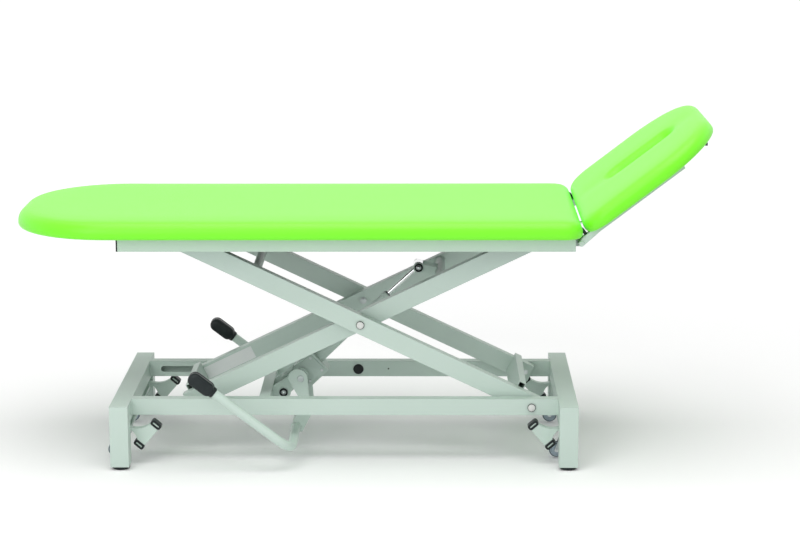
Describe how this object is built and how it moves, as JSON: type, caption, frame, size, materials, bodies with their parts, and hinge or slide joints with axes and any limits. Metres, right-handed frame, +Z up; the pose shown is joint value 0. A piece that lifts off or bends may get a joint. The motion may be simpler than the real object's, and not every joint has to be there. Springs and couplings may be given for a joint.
{
  "type": "hydraulic therapy table",
  "caption": "Height-adjustable treatment couch: hydraulic scissor lift on a four-legged frame with retractable castors, padded top and a hinged head section with a face slot.",
  "frame": {"origin": "on the floor, under the middle of the couch's outline with the head section raised as in the picture", "axes": "+X towards the head section along the table, +Y across the table to the side away from the picture's camera, +Z up"},
  "size_m": [1.8789, 0.668, 0.9354],
  "materials": {
    "powder_coat": "satin powder coat",
    "upholstery": "smooth synthetic leather",
    "black_rubber": "matt",
    "black_plastic": "matt",
    "zinc_steel": "zinc plated",
    "roller_plastic": "matt",
    "chrome": "polished",
    "cast_pump": "painted",
    "castor_fork": "zinc plated",
    "castor_wheel": "matt",
    "plywood": "dark stained plywood"
  },
  "bodies": {
    "base_frame": {"legs": "powder_coat", "foot_pads": "black_rubber", "end_beam_foot": "powder_coat", "end_beam_head": "powder_coat", "side_rails": "powder_coat", "rail_plugs": "black_plastic", "lower_pivot_bolts": "zinc_steel", "bracket_cross_tube": "powder_coat", "bracket_cheeks": "powder_coat", "bracket_bolts": "zinc_steel"},
    "outer_arms": {"arm_a_near": "powder_coat", "arm_a_far": "powder_coat", "arm_a_round_tube": "powder_coat", "arm_a_box_tube": "powder_coat", "mid_pivot_bolts": "zinc_steel", "upper_rollers": "roller_plastic"},
    "inner_arms": {"arm_b_near": "powder_coat", "arm_b_far": "powder_coat", "lift_tube": "powder_coat", "lift_gussets": "powder_coat", "lift_pin": "zinc_steel", "arm_b_box_tube": "powder_coat", "lower_rollers": "roller_plastic", "upper_pivot_pins": "zinc_steel"},
    "piston": {"piston_rod": "chrome"},
    "pump": {"cylinder_barrel": "cast_pump", "pump_casting": "cast_pump", "pump_pipes": "cast_pump"},
    "foot_lever": {"foot_bar": "powder_coat", "lever_plates": "powder_coat", "pedal_pads": "black_rubber"},
    "top_frame": {"top_rails": "powder_coat", "top_rail_caps": "black_plastic", "top_guides": "powder_coat", "top_cross_bars": "powder_coat", "top_board": "plywood", "main_cushion": "upholstery", "hinge_ears": "powder_coat"},
    "head_section": {"head_frame": "powder_coat", "head_brackets": "powder_coat", "head_board": "plywood", "head_cushion": "upholstery"},
    "spring_body": {"gas_spring_body": "cast_pump"},
    "spring_rod": {"gas_spring_rod": "chrome"},
    "release": {"release_lever": "zinc_steel", "release_knob": "black_plastic"},
    "foot_pedals": {"castor_pedals_foot": "powder_coat", "pedal_caps_foot": "black_rubber"},
    "foot_castor_bar": {"castor_bar_foot": "powder_coat"},
    "foot_near_fork": {"castor_foot_near_fork": "castor_fork"},
    "foot_near_wheel": {"castor_foot_near_wheel": "castor_wheel"},
    "foot_far_fork": {"castor_foot_far_fork": "castor_fork"},
    "foot_far_wheel": {"castor_foot_far_wheel": "castor_wheel"},
    "head_pedals": {"castor_pedals_head": "powder_coat", "pedal_caps_head": "black_rubber"},
    "head_castor_bar": {"castor_bar_head": "powder_coat"},
    "head_near_fork": {"castor_head_near_fork": "castor_fork"},
    "head_near_wheel": {"castor_head_near_wheel": "castor_wheel"},
    "head_far_fork": {"castor_head_far_fork": "castor_fork"},
    "head_far_wheel": {"castor_head_far_wheel": "castor_wheel"}
  },
  "joints": [
    {"name": "lift", "type": "hinge", "parent": "base_frame", "child": "outer_arms", "pos_m": [0.46103, 0, 0.1544], "axis": [0, 1, 0], "range_deg": [-12, 12.5]},
    {"name": "scissor_pivot", "type": "hinge", "parent": "outer_arms", "child": "inner_arms", "pos_m": [-0.00199, 0, 0.37525], "axis": [0, 1, 0], "range_deg": [-25, 24]},
    {"name": "top_pivot", "type": "hinge", "parent": "inner_arms", "child": "top_frame", "pos_m": [0.46103, 0, 0.5961], "axis": [0, 1, 0], "range_deg": [-12, 12.5]},
    {"name": "piston_pivot", "type": "hinge", "parent": "inner_arms", "child": "piston", "pos_m": [0.15554, 0, 0.50025], "axis": [0, 1, 0], "range_deg": [-3.4, 3.5]},
    {"name": "piston_stroke", "type": "slide", "parent": "piston", "child": "pump", "axis": [-0.7317, 0, -0.6816], "range_m": [-0.099, 0.103]},
    {"name": "foot_lever_pivot", "type": "hinge", "parent": "base_frame", "child": "foot_lever", "pos_m": [-0.17047, 0, 0.199], "axis": [0, 1, 0], "range_deg": [-20, 8], "stiffness_Nm_per_rad": 60, "springref_deg": 1.55},
    {"name": "head_hinge", "type": "hinge", "parent": "top_frame", "child": "head_section", "pos_m": [0.58553, 0, 0.6171], "axis": [0, 1, 0], "range_deg": [0, 72]},
    {"name": "spring_pivot", "type": "hinge", "parent": "top_frame", "child": "spring_body", "pos_m": [0.28553, 0, 0.5771], "axis": [0, 1, 0], "range_deg": [0, 11.9]},
    {"name": "spring_stroke", "type": "slide", "parent": "spring_body", "child": "spring_rod", "axis": [0.9905, 0, 0.1377], "range_m": [-0.0327, 0]},
    {"name": "release_pivot", "type": "hinge", "parent": "head_section", "child": "release", "pos_m": [0.89377, -0.075, 0.85277], "axis": [0, 1, 0], "range_deg": [-15, 0], "stiffness_Nm_per_rad": 0.2, "springref_deg": 5.73},
    {"name": "foot_pedal_pivot", "type": "hinge", "parent": "base_frame", "child": "foot_pedals", "pos_m": [-0.65647, 0, 0.11], "axis": [0, 1, 0], "range_deg": [0, 28]},
    {"name": "foot_bar_slide", "type": "slide", "parent": "base_frame", "child": "foot_castor_bar", "axis": [0, 0, -1], "range_m": [0, 0.011]},
    {"name": "foot_near_swivel", "type": "hinge", "parent": "foot_castor_bar", "child": "foot_near_fork", "pos_m": [-0.64697, -0.176, 0.09], "axis": [0, 0, 1], "continuous": true},
    {"name": "foot_near_wheel_spin", "type": "hinge", "parent": "foot_near_fork", "child": "foot_near_wheel", "pos_m": [-0.67297, -0.176, 0.025], "axis": [0, 1, 0], "continuous": true},
    {"name": "foot_far_swivel", "type": "hinge", "parent": "foot_castor_bar", "child": "foot_far_fork", "pos_m": [-0.64697, 0.176, 0.09], "axis": [0, 0, 1], "continuous": true},
    {"name": "foot_far_wheel_spin", "type": "hinge", "parent": "foot_far_fork", "child": "foot_far_wheel", "pos_m": [-0.67297, 0.176, 0.025], "axis": [0, 1, 0], "continuous": true},
    {"name": "head_pedal_pivot", "type": "hinge", "parent": "base_frame", "child": "head_pedals", "pos_m": [0.56753, 0, 0.11], "axis": [0, -1, 0], "range_deg": [0, 28]},
    {"name": "head_bar_slide", "type": "slide", "parent": "base_frame", "child": "head_castor_bar", "axis": [0, 0, -1], "range_m": [0, 0.011]},
    {"name": "head_near_swivel", "type": "hinge", "parent": "head_castor_bar", "child": "head_near_fork", "pos_m": [0.55803, -0.176, 0.09], "axis": [0, 0, 1], "continuous": true},
    {"name": "head_near_wheel_spin", "type": "hinge", "parent": "head_near_fork", "child": "head_near_wheel", "pos_m": [0.53203, -0.176, 0.025], "axis": [0, 1, 0], "continuous": true},
    {"name": "head_far_swivel", "type": "hinge", "parent": "head_castor_bar", "child": "head_far_fork", "pos_m": [0.55803, 0.176, 0.09], "axis": [0, 0, 1], "continuous": true},
    {"name": "head_far_wheel_spin", "type": "hinge", "parent": "head_far_fork", "child": "head_far_wheel", "pos_m": [0.53203, 0.176, 0.025], "axis": [0, 1, 0], "continuous": true}
  ],
  "couplings": [
    {"joint": "scissor_pivot", "follows": "lift", "ratio": -2},
    {"joint": "top_pivot", "follows": "lift", "ratio": 1},
    {"joint": "piston_pivot", "follows": "lift", "ratio": 0.27},
    {"joint": "piston_stroke", "follows": "lift", "m_per_rad": 0.466},
    {"joint": "spring_pivot", "follows": "head_hinge", "ratio": 0.1645},
    {"joint": "spring_stroke", "follows": "head_hinge", "m_per_rad": -0.02587},
    {"joint": "foot_bar_slide", "follows": "foot_pedal_pivot", "m_per_rad": 0.0225},
    {"joint": "head_bar_slide", "follows": "head_pedal_pivot", "m_per_rad": 0.0225}
  ]
}
